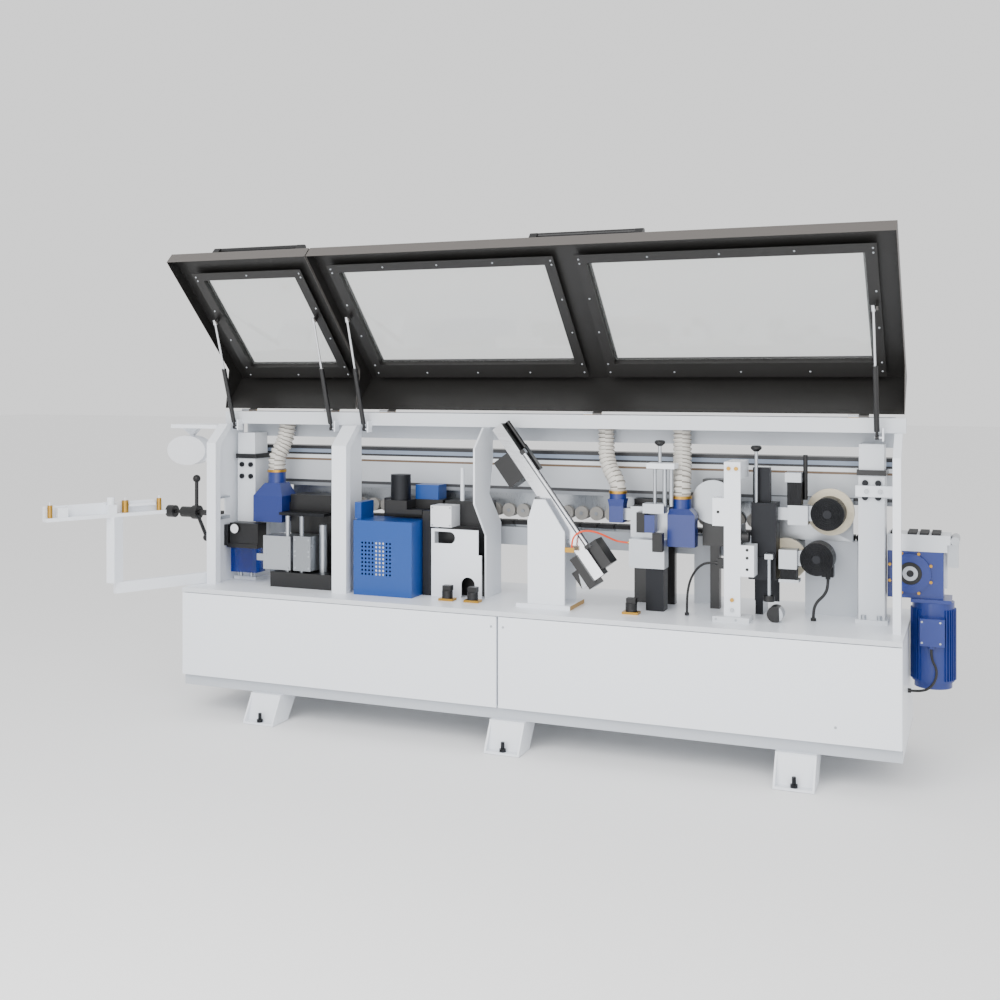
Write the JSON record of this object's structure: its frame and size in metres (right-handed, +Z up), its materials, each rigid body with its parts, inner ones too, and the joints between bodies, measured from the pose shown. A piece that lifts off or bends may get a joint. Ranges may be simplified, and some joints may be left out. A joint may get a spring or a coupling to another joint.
{
  "type": "edge banding machine",
  "caption": "Straight-line edge banding machine with raised guard hoods, glue, trimming and buffing units, pressure beam and feed chain",
  "frame": {"origin": "centre of the footprint of the whole machine at floor level", "axes": "+X along the feed direction from infeed to outfeed, +Y from the operator side to the chain side, +Z up"},
  "size_m": [3.7366, 1.3312, 2.1448],
  "materials": {
    "hose": "smooth orange air hose",
    "dark_fittings": "satin black",
    "white_paint": "smooth powder coat",
    "grey_paint": "smooth powder coat",
    "machined_steel": "machined",
    "cable": "matte sheath",
    "black_plastic": "moulded",
    "grey_plastic": "moulded",
    "pad_rubber": "moulded rubber",
    "light_plastic": "moulded",
    "duct_hose": "flexible ribbed hose",
    "navy_paint": "smooth powder coat",
    "blue_paint": "smooth powder coat",
    "black_metal": "satin black",
    "hood_paint": "satin dark grey",
    "pane": "clear pane",
    "chrome_rod": "polished rod",
    "strut_black": "satin black tube",
    "buff_cloth": "sewn cotton buff",
    "brass_bolts": "plated fasteners"
  },
  "bodies": {
    "machine_frame": {"air_hose": "hose", "air_regulators": "dark_fittings", "base_cabinet": "white_paint", "base_feet": "white_paint", "beam_columns": "grey_paint", "buff_brackets": "machined_steel", "buff_cable": "cable", "chain_pads": "pad_rubber", "control_housing": "light_plastic", "conveyor_beam": "grey_paint", "divider_plates": "white_paint", "end_trim_pedestal": "white_paint", "end_trim_rail": "dark_fittings", "extraction_ducts": "duct_hose", "extraction_hoods": "navy_paint", "feed_motor": "blue_paint", "front_panels": "white_paint", "glue_boxes": "blue_paint", "glue_cover": "blue_paint", "glue_front_panel": "white_paint", "glue_unit": "black_metal", "hinge_leaves": "machined_steel", "infeed_end_plate": "white_paint", "infeed_fittings": "machined_steel", "lubricator": "light_plastic", "machine_bolts": "brass_bolts", "motor_cable": "cable", "outfeed_end_post": "white_paint", "outfeed_rail": "grey_paint", "premill_base": "black_metal", "premill_blocks": "machined_steel", "tape_arm": "white_paint", "tape_rollers": "brass_bolts", "top_bar": "grey_paint", "trim_brackets": "machined_steel", "trim_cable": "cable", "trim_post": "white_paint", "unit_motors": "black_metal", "worm_gearbox": "blue_paint"},
    "left_hood": {"left_hood_shell": "hood_paint", "left_hood_windows": "pane", "left_hood_handle": "black_plastic"},
    "right_hood": {"right_hood_shell": "hood_paint", "right_hood_windows": "pane", "right_hood_handle": "black_plastic"},
    "left_strut_tube_pair": {"left_strut_tubes": "strut_black"},
    "right_strut_tube_pair": {"right_strut_tubes": "strut_black"},
    "left_strut_rod_pair": {"left_strut_rods": "chrome_rod"},
    "right_strut_rod_pair": {"right_strut_rods": "chrome_rod"},
    "lifting_beam": {"pressure_beam": "grey_paint", "pressure_wheels": "pad_rubber"},
    "drive_hub": {"output_hub": "machined_steel"},
    "upper_carriage": {"upper_trim_carriage": "black_metal"},
    "lower_carriage": {"lower_trim_carriage": "black_metal"},
    "upper_wheel": {"upper_buff_wheel": "buff_cloth"},
    "lower_wheel": {"lower_buff_wheel": "buff_cloth"},
    "copying_disc": {"tracing_disc": "machined_steel"},
    "trim_knob": {"trim_height_knob": "black_plastic"},
    "buff_knob": {"buff_height_knob": "black_plastic"},
    "capstan": {"capstan_handle": "grey_plastic"}
  },
  "joints": [
    {"name": "left_hood_hinge", "type": "hinge", "parent": "machine_frame", "child": "left_hood", "pos_m": [-1.13071, 0.17964, 1.404], "axis": [1, 0, 0], "range_deg": [0, 129.3]},
    {"name": "left_strut_swing", "type": "hinge", "parent": "machine_frame", "child": "left_strut_tube_pair", "pos_m": [-1.41571, 0.15164, 1.321], "axis": [1, 0, 0], "range_deg": [0, 134.12]},
    {"name": "left_strut_stroke", "type": "slide", "parent": "left_strut_tube_pair", "child": "left_strut_rod_pair", "axis": [0, -0.31, 0.9507], "range_m": [-0.15403, 0]},
    {"name": "right_hood_hinge", "type": "hinge", "parent": "machine_frame", "child": "right_hood", "pos_m": [0.44929, 0.17964, 1.404], "axis": [1, 0, 0], "range_deg": [0, 129.3]},
    {"name": "right_strut_swing", "type": "hinge", "parent": "machine_frame", "child": "right_strut_tube_pair", "pos_m": [-0.70771, 0.15164, 1.321], "axis": [1, 0, 0], "range_deg": [0, 134.12]},
    {"name": "right_strut_stroke", "type": "slide", "parent": "right_strut_tube_pair", "child": "right_strut_rod_pair", "axis": [0, -0.31, 0.9507], "range_m": [-0.15403, 0]},
    {"name": "beam_lift", "type": "slide", "parent": "machine_frame", "child": "lifting_beam", "axis": [0, 0, 1], "range_m": [-0.01, 0.04]},
    {"name": "output_shaft", "type": "hinge", "parent": "machine_frame", "child": "drive_hub", "pos_m": [1.68429, 0.31964, 0.78], "axis": [0, 1, 0], "continuous": true},
    {"name": "upper_trim_slide", "type": "slide", "parent": "machine_frame", "child": "upper_carriage", "axis": [0.5939, 0, -0.8045], "range_m": [-0.06, 0.085]},
    {"name": "lower_trim_slide", "type": "slide", "parent": "machine_frame", "child": "lower_carriage", "axis": [0.5939, 0, -0.8045], "range_m": [-0.012, 0.06]},
    {"name": "upper_wheel_spin", "type": "hinge", "parent": "machine_frame", "child": "upper_wheel", "pos_m": [1.37529, 0.26664, 1.01], "axis": [0, 1, 0], "continuous": true},
    {"name": "lower_wheel_spin", "type": "hinge", "parent": "machine_frame", "child": "lower_wheel", "pos_m": [1.20029, 0.24664, 0.812], "axis": [0, 1, 0], "continuous": true},
    {"name": "copying_disc_spin", "type": "hinge", "parent": "machine_frame", "child": "copying_disc", "pos_m": [0.90229, 0.23364, 1.036], "axis": [0, 1, 0], "continuous": true},
    {"name": "trim_knob_turn", "type": "hinge", "parent": "machine_frame", "child": "trim_knob", "pos_m": [0.70229, 0.11564, 1.285], "axis": [0, 0, 1], "continuous": true},
    {"name": "buff_knob_turn", "type": "hinge", "parent": "machine_frame", "child": "buff_knob", "pos_m": [1.09629, 0.14364, 1.265], "axis": [0, 0, 1], "continuous": true},
    {"name": "capstan_turn", "type": "hinge", "parent": "machine_frame", "child": "capstan", "pos_m": [-1.63471, 0.14764, 0.9], "axis": [1, 0, 0], "continuous": true}
  ],
  "couplings": [
    {"joint": "left_strut_swing", "follows": "left_hood_hinge", "ratio": 1.0369},
    {"joint": "left_strut_stroke", "follows": "left_hood_hinge", "m_per_rad": -0.068208},
    {"joint": "right_strut_swing", "follows": "right_hood_hinge", "ratio": 1.0369},
    {"joint": "right_strut_stroke", "follows": "right_hood_hinge", "m_per_rad": -0.068208}
  ]
}
